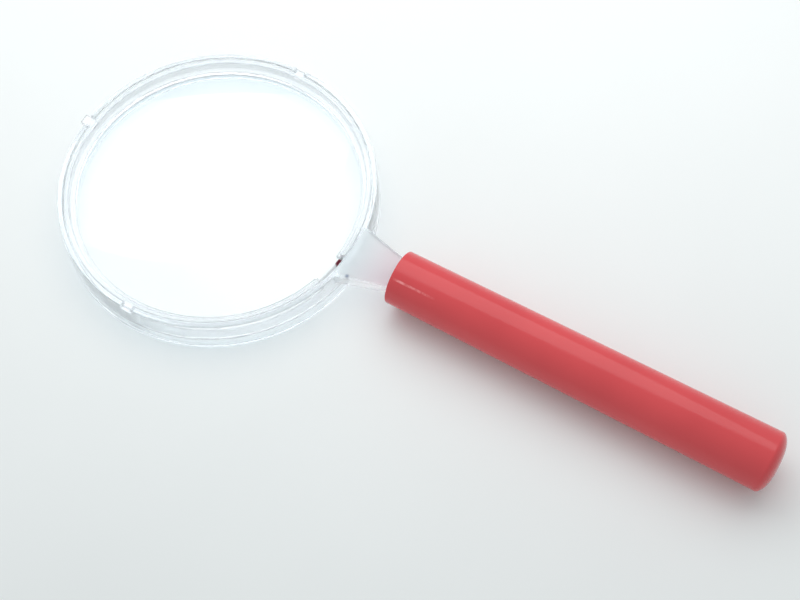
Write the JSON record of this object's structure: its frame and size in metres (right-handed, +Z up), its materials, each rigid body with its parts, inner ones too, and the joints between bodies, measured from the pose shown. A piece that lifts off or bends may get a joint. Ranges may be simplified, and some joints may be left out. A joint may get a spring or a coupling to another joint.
{
  "type": "low vision magnifier",
  "caption": "Hand-held low vision magnifier: round clear lens held in a clear ring by a C-shaped retainer, with a flat neck pushed into a tapered red handle.",
  "frame": {"origin": "centre of the bounding box's bottom face, on the plane that the lens ring lies on", "axes": "+X from the lens towards the handle's closed end, +Z up along the lens axis"},
  "size_m": [0.2356, 0.0992, 0.0193],
  "materials": {
    "clear_plastic": "clear moulded, polished",
    "lens_acrylic": "optically clear",
    "red_plastic": "glossy moulded"
  },
  "bodies": {
    "root": {"lens_frame": "clear_plastic", "retaining_ring": "clear_plastic", "lens": "lens_acrylic", "handle": "red_plastic"}
  },
  "joints": []
}
